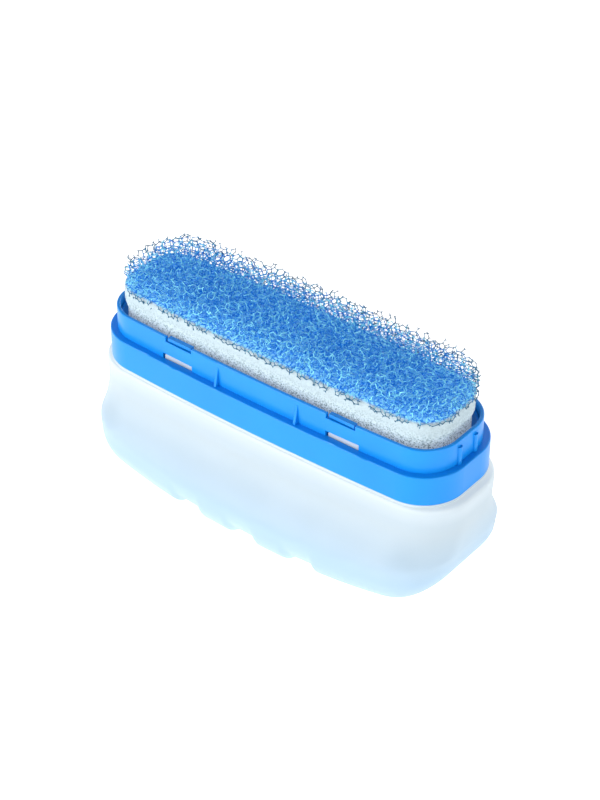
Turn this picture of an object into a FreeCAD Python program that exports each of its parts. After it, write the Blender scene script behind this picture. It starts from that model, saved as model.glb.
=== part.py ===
"""Sponge filter cartridge: a translucent tub, a clip-on rim frame, a foam basket and three foam pads.

All lengths are in millimetres. The plan is centred on the origin with its long side along X.
The underside of the tub stands on z = 0, and the pads stack upwards along +Z.
"""
import FreeCAD, Part
import math
import os

import Sketcher

NODE_FOLDER = "parts"
FLARE_STEPS = 5
LEVEL_TOLERANCE = 0.01
LEAST_CUT = 0.1
THROUGH_ALL = 400.0
LONG_EDGE = 100.0
SKIRT_EDGE_SLACK = 0.3
COLLAR_EDGE_SLACK = 0.8
KEEL_OVERHANG = 10.0
KEEL_DEPTH = 20.0
HEEL_SEARCH_HEIGHT = 8.0

SIZES = [
    # the rim: the outline that the skirt, the collar, the neck and the upper pads all share
    ("rim_length", 150.0),
    ("rim_width", 46.1),
    ("rim_side_radius", 1230.0),
    ("rim_corner", 16.5),
    ("rim_level", 46.3),
    # rim frame, measured outwards and upwards from the skirt's lower edge
    ("skirt_height", 11.5),
    ("skirt_wall", 1.6),
    ("ledge_width", 2.6),
    ("ledge_thickness", 1.5),
    ("collar_height", 9.2),
    ("collar_wall", 1.45),
    ("edge_round", 0.5),
    ("window_centre", 36.0),
    ("window_width", 13.6),
    ("window_height", 2.1),
    ("notch_centre", 35.3),
    ("notch_width", 12.0),
    ("notch_depth", 1.9),
    ("gusset_centre", 17.3),
    ("gusset_thickness", 0.9),
    ("gusset_height", 7.2),
    ("gusset_foot", 1.5),
    ("gusset_root", 0.6),
    ("gusset_tip", 0.05),
    ("end_rib_centre", 4.45),
    ("end_rib_width", 2.2),
    ("end_rib_height", 6.8),
    ("end_rib_relief", 0.9),
    # tub: a lip under the skirt, a waist, a belly and an upswept, fluted floor
    ("floor_level", 0.0),
    ("cut_margin", 1.0),
    ("tub_wall", 1.5),
    ("shoulder_drop", 1.1),
    ("shoulder_out", 0.9),
    ("lip_drop", 3.2),
    ("lip_out", 2.6),
    ("waist_drop", 10.0),
    ("waist_out", 2.2),
    ("belly_level", 15.3),
    ("belly_length", 153.0),
    ("belly_width", 65.4),
    ("belly_side_radius", 490.0),
    ("belly_corner", 20.0),
    ("heel_inset", 0.6),
    ("heel_round", 13.0),
    ("keel_flat", 34.0),
    ("keel_radius", 336.0),
    ("floor_thickness", 3.6),
    ("cavity_round", 12.5),
    ("flute_pitch", 25.0),
    ("flute_width", 13.0),
    ("flute_depth", 1.9),
    ("scoop_angle", 54.0),
    ("scoop_length", 40.0),
    ("outlet_length", 9.0),
    ("outlet_width", 2.4),
    ("outlet_pitch", 12.0),
    # neck of the tub, inside the skirt
    ("neck_inset", 2.0),
    ("neck_wall", 1.9),
    ("neck_height", 9.4),
    ("neck_root", 0.5),
    ("mouth_depth", 6.0),
    ("mouth_height", 20.0),
    ("seat_inset", 5.6),
    ("seat_height", 1.2),
    ("tongue_width", 12.6),
    ("tongue_shift", 0.3),
    ("tongue_gap", 0.2),
    ("tongue_wall", 0.8),
    ("tongue_top", 13.4),
    # seal between the skirt and the shoulder
    ("seal_thickness", 0.8),
    ("seal_inset", 0.2),
    ("seal_width", 1.3),
    # foam basket
    ("fit_gap", 0.3),
    ("basket_wall", 0.8),
    ("basket_drop", 3.0),
    ("basket_floor", 1.8),
    ("basket_bar", 2.0),
    ("basket_cell", 9.0),
    ("basket_grid_margin", 1.0),
    ("tab_width", 10.5),
    ("tab_wall", 0.45),
    ("tab_drop", 0.3),
    ("tab_recess", 0.45),
    # foam pads
    ("fine_foam_top", 29.5),
    ("coarse_foam_thickness", 10.5),
    ("pad_gap", 0.2),
    ("pad_edge_round", 1.5),
    ("lower_foam_inset", 6.0),
    ("lower_foam_top", 30.3),
    # grid under the lower pad
    ("base_grid_level", 8.0),
    ("base_grid_thickness", 2.4),
    ("base_grid_inset", 10.0),
    ("base_grid_rim", 2.0),
    ("base_leg_foot", 4.4),
    ("base_leg_width", 5.0),
    ("base_leg_x", 33.0),
    ("base_leg_y", 5.5),
]

doc = FreeCAD.newDocument("sponge_filter")
sheet = doc.addObject("Spreadsheet::Sheet", "sizes")
for row, (alias, value) in enumerate(SIZES, start=1):
    sheet.set("A%d" % row, alias)
    sheet.set("B%d" % row, str(value))
    sheet.setAlias("B%d" % row, alias)
doc.recompute()

# Inset of each ring from the rim outline, as expressions on the sheet.
COLLAR_OUT = "sizes.ledge_width"
COLLAR_IN = "(sizes.ledge_width + sizes.collar_wall)"
BASKET_OUT = "(%s + sizes.fit_gap)" % COLLAR_IN
BASKET_IN = "(%s + sizes.basket_wall)" % BASKET_OUT
FOAM_OUT = "(%s + sizes.fit_gap)" % BASKET_IN
NECK_IN = "(sizes.neck_inset + sizes.neck_wall)"

# Levels above the floor, as expressions on the sheet.
LEDGE_TOP = "(sizes.rim_level + sizes.skirt_height)"
COLLAR_TOP = "(%s + sizes.collar_height)" % LEDGE_TOP
SEAT_TOP = "(sizes.rim_level + sizes.seat_height)"
BASKET_BOTTOM = "(%s + sizes.fit_gap)" % SEAT_TOP
FINE_FOAM_BOTTOM = "(%s + sizes.basket_floor + sizes.fit_gap)" % BASKET_BOTTOM
FINE_FOAM_TOP = "(sizes.rim_level + sizes.fine_foam_top)"
SHOULDER = "(sizes.rim_level - sizes.shoulder_drop)"


def value_of(expression):
    """Number that an expression on the sheet stands for."""
    return float(sheet.evalExpression(expression.replace("sizes.", "")))


def new_body(name):
    """PartDesign body whose label is also its node name."""
    body = doc.addObject("PartDesign::Body", name)
    body.Label = name
    return body


def origin_plane(body, role):
    """One of the body's own origin planes."""
    return next(item for item in body.Origin.OriginFeatures if item.Role == role)


def new_sketch(body, name, role="XY_Plane", level=None):
    """Sketch on an origin plane of the body; level is an expression for its distance from it."""
    sketch = body.newObject("Sketcher::SketchObject", name)
    sketch.AttachmentSupport = [(origin_plane(body, role), "")]
    sketch.MapMode = "FlatFace"
    if level is not None:
        sketch.setExpression("AttachmentOffset.Base.z", level)
    return sketch


def constrain(sketch, name, expression, *arguments):
    """Dimension of the sketch that follows an expression on the sheet."""
    index = sketch.addConstraint(Sketcher.Constraint(*arguments, value_of(expression)))
    sketch.renameConstraint(index, name)
    sketch.setExpression("Constraints." + name, expression)


def draw_ring(sketch, inset="0", belly="0"):
    """Closed outline with straight ends, bowed long sides and four round corners.

    The share called belly, from 0 to 1, mixes the rim's outline with the belly's.
    """
    mixed = "((1 - %s) * sizes.rim_{0} + %s * sizes.belly_{0})" % (belly, belly)
    length = "%s / 2 - %s" % (mixed.format("length"), inset)
    corner = "%s - %s" % (mixed.format("corner"), inset)
    side = "%s - %s" % (mixed.format("side_radius"), inset)
    drop = "%s - %s / 2" % (mixed.format("side_radius"), mixed.format("width"))
    half, radius, bow = value_of(length), value_of(corner), value_of(side)
    centre = -value_of(drop)
    corner_x = half - radius
    corner_y = centre + math.sqrt((bow - radius) ** 2 - corner_x ** 2)
    turn = math.atan2(corner_y - centre, corner_x)
    corner_angles = [(0, turn), (math.pi - turn, math.pi), (math.pi, math.pi + turn), (-turn, 0)]
    corner_places = [(1, 1), (-1, 1), (-1, -1), (1, -1)]
    vector = FreeCAD.Vector
    up = vector(0, 0, 1)

    def corner_arc(index):
        sign_x, sign_y = corner_places[index]
        circle = Part.Circle(vector(sign_x * corner_x, sign_y * corner_y, 0), up, radius)
        return Part.ArcOfCircle(circle, *corner_angles[index])

    def side_arc(sign):
        circle = Part.Circle(vector(0, sign * centre, 0), up, bow)
        middle = sign * math.pi / 2
        sweep = math.pi / 2 - turn
        return Part.ArcOfCircle(circle, middle - sweep, middle + sweep)

    def end_line(sign):
        low = vector(sign * half, -sign * corner_y, 0)
        high = vector(sign * half, sign * corner_y, 0)
        return Part.LineSegment(low, high)

    edges = [end_line(1), corner_arc(0), side_arc(1), corner_arc(1),
             end_line(-1), corner_arc(2), side_arc(-1), corner_arc(3)]
    first = sketch.GeometryCount
    sketch.addGeometry(edges, False)
    right, left, back, front = first, first + 4, first + 2, first + 6
    corners = [first + 1, first + 3, first + 5, first + 7]
    for step in range(len(edges)):
        following = first + (step + 1) % len(edges)
        sketch.addConstraint(Sketcher.Constraint("Tangent", first + step, 2, following, 1))
    sketch.addConstraint(Sketcher.Constraint("Symmetric", right, 1, right, 2, -1))
    sketch.addConstraint(Sketcher.Constraint("Vertical", left))
    for side_index in (back, front):
        sketch.addConstraint(Sketcher.Constraint("PointOnObject", side_index, 3, -2))
    for other in corners[1:]:
        sketch.addConstraint(Sketcher.Constraint("Equal", corners[0], other))
    sketch.addConstraint(Sketcher.Constraint("Equal", back, front))
    tag = "_%d" % first
    constrain(sketch, "corner" + tag, corner, "Radius", corners[0])
    constrain(sketch, "side" + tag, side, "Radius", back)
    constrain(sketch, "right" + tag, length, "DistanceX", -1, 1, right, 1)
    constrain(sketch, "left" + tag, length, "DistanceX", left, 1, -1, 1)
    constrain(sketch, "drop" + tag, drop, "DistanceY", back, 3, -1, 1)


def draw_box(sketch, name, left, right, low, high):
    """Rectangle whose four sides are expressions, measured from the sketch's origin."""
    x0, x1, y0, y1 = value_of(left), value_of(right), value_of(low), value_of(high)
    points = [FreeCAD.Vector(x, y, 0) for x, y in ((x0, y0), (x1, y0), (x1, y1), (x0, y1))]
    first = sketch.GeometryCount
    sketch.addGeometry([Part.LineSegment(points[i], points[(i + 1) % 4]) for i in range(4)], False)
    for step in range(4):
        sketch.addConstraint(Sketcher.Constraint("Coincident", first + step, 2, first + (step + 1) % 4, 1))
    for step, kind in enumerate(("Horizontal", "Vertical", "Horizontal", "Vertical")):
        sketch.addConstraint(Sketcher.Constraint(kind, first + step))
    constrain(sketch, name + "_left", left, "DistanceX", -1, 1, first, 1)
    constrain(sketch, name + "_right", right, "DistanceX", -1, 1, first + 1, 1)
    constrain(sketch, name + "_low", low, "DistanceY", -1, 1, first, 1)
    constrain(sketch, name + "_high", high, "DistanceY", -1, 1, first + 2, 1)


def pad(body, sketch, height):
    """Pad that rises from its sketch by an expression."""
    feature = body.newObject("PartDesign::Pad", sketch.Name + "_pad")
    feature.Profile = sketch
    feature.setExpression("Length", height)
    doc.recompute()
    return feature


def pocket(body, sketch, depth, upwards=True):
    """Pocket that removes material above its sketch, or below it; it must remove something."""
    before = body.Shape.Volume
    feature = body.newObject("PartDesign::Pocket", sketch.Name + "_pocket")
    feature.Profile = sketch
    feature.Reversed = upwards
    feature.setExpression("Length", depth)
    doc.recompute()
    if body.Shape.Volume > before - LEAST_CUT:
        raise RuntimeError(feature.Name + " removes nothing")
    return feature


def pocket_across(body, sketch):
    """Pocket that runs through the whole body on both sides of its sketch."""
    before = body.Shape.Volume
    feature = body.newObject("PartDesign::Pocket", sketch.Name + "_pocket")
    feature.Profile = sketch
    feature.Midplane = True
    feature.Length = THROUGH_ALL
    doc.recompute()
    if body.Shape.Volume > before - LEAST_CUT:
        raise RuntimeError(feature.Name + " removes nothing")
    return feature


def pad_ring(body, name, inset, level, height):
    """Pad of the rim's outline, pulled in by an inset."""
    sketch = new_sketch(body, name, level=level)
    draw_ring(sketch, inset)
    return pad(body, sketch, height)


def pocket_ring(body, name, inset, level, height):
    """Pocket of the rim's outline, pulled in by an inset, upwards from its level."""
    sketch = new_sketch(body, name, level=level)
    draw_ring(sketch, inset)
    return pocket(body, sketch, height)


def round_edges(body, name, radius, wanted):
    """Fillet on the edges that the test picks."""
    base = body.Tip
    picked = ["Edge%d" % (i + 1) for i, edge in enumerate(base.Shape.Edges) if wanted(base.Shape, edge)]
    feature = body.newObject("PartDesign::Fillet", name)
    feature.Base = (base, picked)
    feature.setExpression("Radius", radius)
    doc.recompute()
    return feature


def flat_at(edge, level):
    """Whether an edge lies at one level."""
    box = edge.BoundBox
    return abs(box.ZMin - level) < LEVEL_TOLERANCE and abs(box.ZMax - level) < LEVEL_TOLERANCE


def width_at(x, inset):
    """Half width of the rim outline at a place along its length, for a given inset."""
    radius = value_of("sizes.rim_side_radius")
    sag = radius - math.sqrt(radius ** 2 - x ** 2)
    return value_of("sizes.rim_width / 2") - sag - inset


def build_rim_frame():
    """Skirt, ledge and collar in one moulding, with windows, notches, gussets and end ribs."""
    body = new_body("rim_frame")
    pad_ring(body, "skirt", "0", "sizes.rim_level", "sizes.skirt_height")
    pad_ring(body, "collar", COLLAR_OUT, LEDGE_TOP, "sizes.collar_height")
    add_gussets(body)
    add_end_ribs(body)
    pocket_ring(body, "skirt_inside", "sizes.skirt_wall", "sizes.rim_level",
                "sizes.skirt_height - sizes.ledge_thickness")
    pocket_ring(body, "collar_inside", COLLAR_IN, "sizes.rim_level",
                "sizes.skirt_height + sizes.collar_height")
    levels = [value_of(LEDGE_TOP), value_of(COLLAR_TOP), value_of("sizes.rim_level")]
    outer_skirt = width_at(0, 0) - SKIRT_EDGE_SLACK
    outer_collar = width_at(0, value_of(COLLAR_IN)) - COLLAR_EDGE_SLACK

    def outer_edge(shape, edge):
        box = edge.BoundBox
        reach = max(abs(box.YMin), abs(box.YMax))
        long_way = edge.Length > LONG_EDGE
        return long_way and (flat_at(edge, levels[0]) and reach > outer_skirt
                             or flat_at(edge, levels[1]) and reach > outer_collar
                             or flat_at(edge, levels[2]) and reach > outer_skirt)

    round_edges(body, "rounded_edges", "sizes.edge_round", outer_edge)
    cut_windows_and_notches(body)
    return body


def add_gussets(body):
    """Two thin wedges on each long side, between the collar and the ledge."""
    offset = "sizes.rim_width / 2 - sizes.ledge_width"
    for sign in (-1, 1):
        sketch = new_sketch(body, "gusset_%s" % ("left" if sign < 0 else "right"), "YZ_Plane")
        sketch.setExpression("AttachmentOffset.Base.z", "%d * sizes.gusset_centre" % sign)
        for side in (-1, 1):
            foot = side * value_of(offset + " + sizes.gusset_foot")
            root = side * value_of(offset + " - sizes.gusset_root")
            tip = side * value_of(offset + " - sizes.gusset_tip")
            low = value_of(LEDGE_TOP)
            high = value_of(LEDGE_TOP + " + sizes.gusset_height")
            corners = [(root, low), (foot, low), (tip, high), (root, high)]
            points = [FreeCAD.Vector(y, z, 0) for y, z in corners]
            lines = [Part.LineSegment(points[i], points[(i + 1) % 4]) for i in range(4)]
            first = sketch.GeometryCount
            sketch.addGeometry(lines, False)
            for step in range(4):
                sketch.addConstraint(
                    Sketcher.Constraint("Coincident", first + step, 2, first + (step + 1) % 4, 1))
        feature = body.newObject("PartDesign::Pad", sketch.Name + "_pad")
        feature.Profile = sketch
        feature.Midplane = True
        feature.setExpression("Length", "sizes.gusset_thickness")
        doc.recompute()


def add_end_ribs(body):
    """Two upright ribs with round faces on each end of the collar."""
    reach = "sizes.rim_length / 2 - sizes.ledge_width"
    sketch = new_sketch(body, "end_ribs", level=LEDGE_TOP)
    for end in (-1, 1):
        for side in (-1, 1):
            along = end * value_of(reach + " + sizes.end_rib_relief - sizes.end_rib_width / 2")
            across = side * value_of("sizes.end_rib_centre")
            centre = FreeCAD.Vector(along, across, 0)
            circle = Part.Circle(centre, FreeCAD.Vector(0, 0, 1), value_of("sizes.end_rib_width / 2"))
            index = sketch.addGeometry(circle, False)
            name = "rib_%d" % index
            constrain(sketch, name + "_width", "sizes.end_rib_width / 2", "Radius", index)
    pad(body, sketch, "sizes.end_rib_height")


def cut_windows_and_notches(body):
    """Four windows at the foot of the collar and four notches in its top edge."""
    sill = LEDGE_TOP
    head = "%s + sizes.window_height" % LEDGE_TOP
    notch_low = "%s - sizes.notch_depth" % COLLAR_TOP
    notch_high = "%s + sizes.cut_margin" % COLLAR_TOP
    wall = new_sketch(body, "windows_and_notches", "XZ_Plane")
    relief = new_sketch(body, "tongue_relief", level="%s - sizes.ledge_thickness" % LEDGE_TOP)
    edge = width_at(value_of("sizes.window_centre + sizes.window_width / 2"), value_of(COLLAR_OUT))
    for side, name in ((-1, "left"), (1, "right")):
        middle = "%d * sizes.window_centre" % side
        window = [middle + " - sizes.window_width / 2", middle + " + sizes.window_width / 2"]
        draw_box(wall, "window_" + name, *window, sill, head)
        draw_box(relief, "relief_" + name, *window, str(-edge), str(edge))
        middle = "%d * sizes.notch_centre" % side
        notch = [middle + " - sizes.notch_width / 2", middle + " + sizes.notch_width / 2"]
        draw_box(wall, "notch_" + name, *notch, notch_low, notch_high)
    pocket_across(body, wall)
    pocket(body, relief, "sizes.ledge_thickness")


def build_rim_seal():
    """Flat ring that the skirt presses onto the tub's shoulder."""
    body = new_body("rim_seal")
    level = "sizes.rim_level - sizes.seal_thickness"
    pad_ring(body, "seal_outside", "sizes.seal_inset", level, "sizes.seal_thickness")
    pocket_ring(body, "seal_inside", "(sizes.seal_inset + sizes.seal_width)", level, "sizes.seal_thickness")
    return body


def draw_keel(sketch, rise):
    """Area below the floor: level in the middle and swept up towards both ends."""
    flat = value_of("sizes.keel_flat") / 2
    radius = value_of("sizes.keel_radius")
    level = value_of(rise)
    reach = value_of("sizes.rim_length / 2") + KEEL_OVERHANG
    sweep = math.asin((reach - flat) / radius)
    edge = level + radius * (1 - math.cos(sweep))
    deep = level - KEEL_DEPTH
    vector = FreeCAD.Vector
    up = vector(0, 0, 1)
    right = Part.ArcOfCircle(Part.Circle(vector(flat, level + radius, 0), up, radius),
                             -math.pi / 2, -math.pi / 2 + sweep)
    left = Part.ArcOfCircle(Part.Circle(vector(-flat, level + radius, 0), up, radius),
                            -math.pi / 2 - sweep, -math.pi / 2)
    corners = [vector(reach, edge, 0), vector(reach, deep, 0),
               vector(-reach, deep, 0), vector(-reach, edge, 0)]
    lines = [Part.LineSegment(corners[i], corners[i + 1]) for i in range(3)]
    middle = Part.LineSegment(vector(-flat, level, 0), vector(flat, level, 0))
    sketch.addGeometry([middle, right] + lines + [left], False)
    joints = [(0, 2, 1, 1), (1, 2, 2, 1), (2, 2, 3, 1), (3, 2, 4, 1), (4, 2, 5, 1), (5, 2, 0, 1)]
    for first, first_end, second, second_end in joints:
        sketch.addConstraint(Sketcher.Constraint("Coincident", first, first_end, second, second_end))
    constrain(sketch, "keel_radius", "sizes.keel_radius", "Radius", 1)


def build_form(name, inset, floor, rounding):
    """Solid of the tub's shape, pulled in by an inset; floor is the level of its underside."""
    body = new_body(name)
    waist = "(sizes.rim_level - sizes.waist_drop)"
    stations = [
        ("(%s - sizes.shoulder_out)" % inset, "0", "%s - %s" % (SHOULDER, inset)),
        ("(%s - sizes.lip_out)" % inset, "0", "sizes.rim_level - sizes.lip_drop - %s / 2" % inset),
        ("(%s - (sizes.lip_out + sizes.waist_out) / 2)" % inset, "0",
         "sizes.rim_level - (sizes.lip_drop + sizes.waist_drop) / 2"),
        ("(%s - sizes.waist_out)" % inset, "0", waist),
    ]
    for step in range(1, FLARE_STEPS + 1):
        share = step / FLARE_STEPS
        belly = share * share * (3 - 2 * share)
        stations.append(("(%s - %.4f * sizes.waist_out)" % (inset, 1 - belly), "%.4f" % belly,
                         "%s - %.4f * (%s - sizes.belly_level)" % (waist, share, waist)))
    stations.append(("(%s + sizes.heel_inset / 4)" % inset, "1", "sizes.belly_level / 2"))
    stations.append(("(%s + sizes.heel_inset)" % inset, "1", "sizes.floor_level"))
    sketches = []
    for number, (ring_inset, belly, level) in enumerate(stations):
        sketch = new_sketch(body, "%s_station_%d" % (name, number), level=level)
        draw_ring(sketch, ring_inset, belly)
        sketches.append(sketch)
    doc.recompute()
    loft = body.newObject("PartDesign::AdditiveLoft", name + "_loft")
    loft.Profile = sketches[0]
    loft.Sections = sketches[1:]
    doc.recompute()
    keel = new_sketch(body, name + "_keel", "XZ_Plane")
    draw_keel(keel, floor)
    pocket_across(body, keel)

    def heel_edge(shape, edge):
        box = edge.BoundBox
        seam = box.XLength < LEVEL_TOLERANCE and abs(box.XMin) < value_of("sizes.keel_flat")
        return box.ZMax < value_of(floor) + HEEL_SEARCH_HEIGHT and not seam

    round_edges(body, name + "_heel_round", rounding, heel_edge)
    return body


def build_tub():
    """Blow-moulded shell with a neck, a seat for the basket and four snap tongues."""
    form = build_form("tub_form", "0", "sizes.floor_level", "sizes.heel_round")
    cut_flutes(form)
    cavity = build_form("tub_cavity", "sizes.tub_wall", "sizes.floor_thickness", "sizes.cavity_round")
    neck = build_neck()
    mouth = build_mouth()
    outlets = build_outlets()
    shell = doc.addObject("Part::MultiFuse", "tub_outside")
    shell.Shapes = [form, neck]
    scoops = [build_scoop(column, side) for column in (-1, 0, 1) for side in (-1, 1)]
    hollow = doc.addObject("Part::MultiFuse", "tub_inside")
    hollow.Shapes = [cavity, mouth, outlets] + scoops
    tub = doc.addObject("Part::Cut", "tub")
    tub.Base = shell
    tub.Tool = hollow
    tub.Label = "tub"
    doc.recompute()
    return tub


def flute_radius():
    """Radius of the round flutes, from their width and depth."""
    half = value_of("sizes.flute_width / 2")
    depth = value_of("sizes.flute_depth")
    return (half ** 2 + depth ** 2) / (2 * depth)


def build_scoop(column, side):
    """Cylinder that carries a flute round the heel of one long side and runs out on the wall."""
    x = column * value_of("sizes.flute_pitch")
    heel = value_of("sizes.heel_round")
    bow = value_of("sizes.belly_side_radius")
    sag = bow - math.sqrt(bow ** 2 - x ** 2)
    centre_y = value_of("sizes.belly_width / 2 - sizes.heel_inset") - sag - heel
    angle = math.radians(value_of("sizes.scoop_angle"))
    reach = heel - value_of("sizes.flute_depth") + flute_radius()
    outwards = FreeCAD.Vector(0, side * math.cos(angle), -math.sin(angle))
    along = FreeCAD.Vector(0, side * math.sin(angle), math.cos(angle))
    middle = FreeCAD.Vector(x, side * centre_y, heel) + outwards * reach
    length = value_of("sizes.scoop_length")
    scoop = doc.addObject("Part::Cylinder", "scoop_%d_%s" % (column + 1, "front" if side < 0 else "back"))
    scoop.Radius = flute_radius()
    scoop.setExpression("Height", "sizes.scoop_length")
    turn = FreeCAD.Rotation(FreeCAD.Vector(0, 0, 1), along)
    scoop.Placement = FreeCAD.Placement(middle - along * (length / 2), turn)
    doc.recompute()
    return scoop


def cut_flutes(body):
    """Three shallow round flutes across the underside, so that water can leave below."""
    half = value_of("sizes.flute_width / 2")
    depth = value_of("sizes.flute_depth")
    radius = flute_radius()
    sweep = math.asin(half / radius)
    sketch = new_sketch(body, "flute", "XZ_Plane")
    middle = -value_of("sizes.flute_pitch")
    circle = Part.Circle(FreeCAD.Vector(middle, depth - radius, 0), FreeCAD.Vector(0, 0, 1), radius)
    arc = Part.ArcOfCircle(circle, math.pi / 2 - sweep, math.pi / 2 + sweep)
    corners = [FreeCAD.Vector(middle - half, 0, 0), FreeCAD.Vector(middle - half, -1, 0),
               FreeCAD.Vector(middle + half, -1, 0), FreeCAD.Vector(middle + half, 0, 0)]
    lines = [Part.LineSegment(corners[i], corners[i + 1]) for i in range(3)]
    sketch.addGeometry([arc] + lines, False)
    for step in range(4):
        sketch.addConstraint(Sketcher.Constraint("Coincident", step, 2, (step + 1) % 4, 1))
    cut = pocket_across(body, sketch)
    pattern = body.newObject("PartDesign::LinearPattern", "flutes")
    pattern.Originals = [cut]
    pattern.Direction = (sketch, ["H_Axis"])
    pattern.Occurrences = 3
    pattern.setExpression("Length", "2 * sizes.flute_pitch")
    body.Tip = pattern
    doc.recompute()


def build_neck():
    """Upright wall inside the skirt, and the four tongues that reach into the collar's windows."""
    body = new_body("tub_neck")
    pad_ring(body, "neck", "sizes.neck_inset", SHOULDER + " - sizes.neck_root",
             "sizes.neck_height + sizes.shoulder_drop + sizes.neck_root")
    sketch = new_sketch(body, "tongues", level="sizes.rim_level + sizes.seat_height")
    far_edge = value_of("sizes.window_centre + sizes.window_width / 2")
    face = width_at(far_edge, value_of("sizes.ledge_width + sizes.tongue_gap"))
    for side, name in ((-1, "left"), (1, "right")):
        middle = "%d * sizes.window_centre + sizes.tongue_shift" % side
        span = [middle + " - sizes.tongue_width / 2", middle + " + sizes.tongue_width / 2"]
        draw_box(sketch, "front_" + name, *span, str(-face), "%s + sizes.tongue_wall" % -face)
        draw_box(sketch, "back_" + name, *span, "%s - sizes.tongue_wall" % face, str(face))
    pad(body, sketch, "sizes.tongue_top - sizes.seat_height")
    return body


def build_mouth():
    """Space inside the neck, above and through the seat that carries the basket."""
    body = new_body("tub_mouth")
    pad_ring(body, "seat_opening", "sizes.seat_inset", SHOULDER + " - sizes.mouth_depth",
             "sizes.mouth_depth + sizes.shoulder_drop + sizes.seat_height")
    pad_ring(body, "neck_opening", NECK_IN, SEAT_TOP, "sizes.mouth_height")
    return body


def build_outlets():
    """Rows of slots through the roof of each flute."""
    body = new_body("tub_outlets")
    sketch = new_sketch(body, "outlets", level="sizes.floor_level - sizes.cut_margin")
    for column in (-1, 0, 1):
        for place in (-1, 0, 1):
            across = "%d * sizes.flute_pitch" % column
            along = "%d * sizes.outlet_pitch" % place
            draw_box(sketch, "outlet_%d_%d" % (column + 1, place + 1),
                     across + " - sizes.outlet_width / 2", across + " + sizes.outlet_width / 2",
                     along + " - sizes.outlet_length / 2", along + " + sizes.outlet_length / 2")
    pad(body, sketch, "sizes.floor_thickness + 2 * sizes.cut_margin")
    return body


def cut_grid(body, name, level, thickness, inset):
    """Square openings that leave a grid of bars inside the given inset."""
    pitch = value_of("sizes.basket_cell + sizes.basket_bar")
    cell = value_of("sizes.basket_cell")
    half_length = value_of("sizes.rim_length / 2 - %s" % inset)
    half_width = width_at(half_length, value_of(inset))
    columns = int((2 * half_length - cell) / pitch)
    rows = int((2 * half_width - cell) / pitch)
    sketch = new_sketch(body, name, level=level)
    for column in range(columns + 1):
        for row_index in range(rows + 1):
            x = (column - columns / 2) * pitch
            y = (row_index - rows / 2) * pitch
            near_end = abs(x) + cell / 2 > half_length - cell
            near_side = abs(y) + cell / 2 > half_width - cell / 2
            if near_end and near_side:
                continue
            draw_box(sketch, "cell_%d_%d" % (column, row_index),
                     "%s - sizes.basket_cell / 2" % x, "%s + sizes.basket_cell / 2" % x,
                     "%s - sizes.basket_cell / 2" % y, "%s + sizes.basket_cell / 2" % y)
    pocket(body, sketch, thickness)


def build_foam_basket():
    """Open tray behind the collar: a thin wall, a grid floor and four lift tabs that fill the notches."""
    body = new_body("foam_basket")
    wall_top = "%s - sizes.basket_drop" % COLLAR_TOP
    pad_ring(body, "basket_outside", BASKET_OUT, BASKET_BOTTOM, "%s - %s" % (wall_top, BASKET_BOTTOM))
    pocket_ring(body, "basket_inside", BASKET_IN, BASKET_BOTTOM + " + sizes.basket_floor",
                "sizes.mouth_height")
    sketch = new_sketch(body, "tabs", level=BASKET_BOTTOM)
    noses = new_sketch(body, "tab_noses", level="%s - sizes.notch_depth + sizes.fit_gap" % COLLAR_TOP)
    reach = value_of("sizes.notch_centre + sizes.tab_width / 2")
    outside = width_at(reach, value_of(BASKET_OUT))
    face = width_at(reach, value_of("sizes.ledge_width + sizes.tab_recess"))
    for side, name in ((-1, "left"), (1, "right")):
        middle = "%d * sizes.notch_centre" % side
        span = [middle + " - sizes.tab_width / 2", middle + " + sizes.tab_width / 2"]
        draw_box(sketch, "front_" + name, *span, str(-outside), "%s + sizes.tab_wall" % -outside)
        draw_box(sketch, "back_" + name, *span, "%s - sizes.tab_wall" % outside, str(outside))
        draw_box(noses, "front_nose_" + name, *span, str(-face), "%s + sizes.tab_wall" % -outside)
        draw_box(noses, "back_nose_" + name, *span, "%s - sizes.tab_wall" % outside, str(face))
    pad(body, sketch, "%s - sizes.tab_drop - %s" % (COLLAR_TOP, BASKET_BOTTOM))
    pad(body, noses, "sizes.notch_depth - sizes.fit_gap - sizes.tab_drop")
    cut_grid(body, "basket_grid", BASKET_BOTTOM, "sizes.basket_floor",
             "(%s + sizes.basket_grid_margin)" % BASKET_IN)
    return body


def build_pad(name, inset, bottom, top):
    """Plain foam block in the rim's outline, with its edges rounded."""
    body = new_body(name)
    pad_ring(body, name + "_outline", inset, bottom, "%s - %s" % (top, bottom))
    upper = value_of(top)
    round_edges(body, name + "_edges", "sizes.pad_edge_round", lambda shape, edge: flat_at(edge, upper))
    return body


def build_base_grid():
    """Raised grid that keeps the lower pad off the outlet slots."""
    body = new_body("base_grid")
    pad_ring(body, "base_plate", "sizes.base_grid_inset", "sizes.base_grid_level",
             "sizes.base_grid_thickness")
    cut_grid(body, "base_cells", "sizes.base_grid_level", "sizes.base_grid_thickness",
             "(sizes.base_grid_inset + sizes.base_grid_rim)")
    legs = new_sketch(body, "base_legs", level="sizes.base_leg_foot")
    for along in (-1, 1):
        for across in (-1, 1):
            centre = FreeCAD.Vector(along * value_of("sizes.base_leg_x"),
                                    across * value_of("sizes.base_leg_y"), 0)
            circle = Part.Circle(centre, FreeCAD.Vector(0, 0, 1), value_of("sizes.base_leg_width / 2"))
            index = legs.addGeometry(circle, False)
            constrain(legs, "leg_%d" % index, "sizes.base_leg_width / 2", "Radius", index)
    pad(body, legs, "sizes.base_grid_level + sizes.base_grid_thickness / 2 - sizes.base_leg_foot")
    return body


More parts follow.
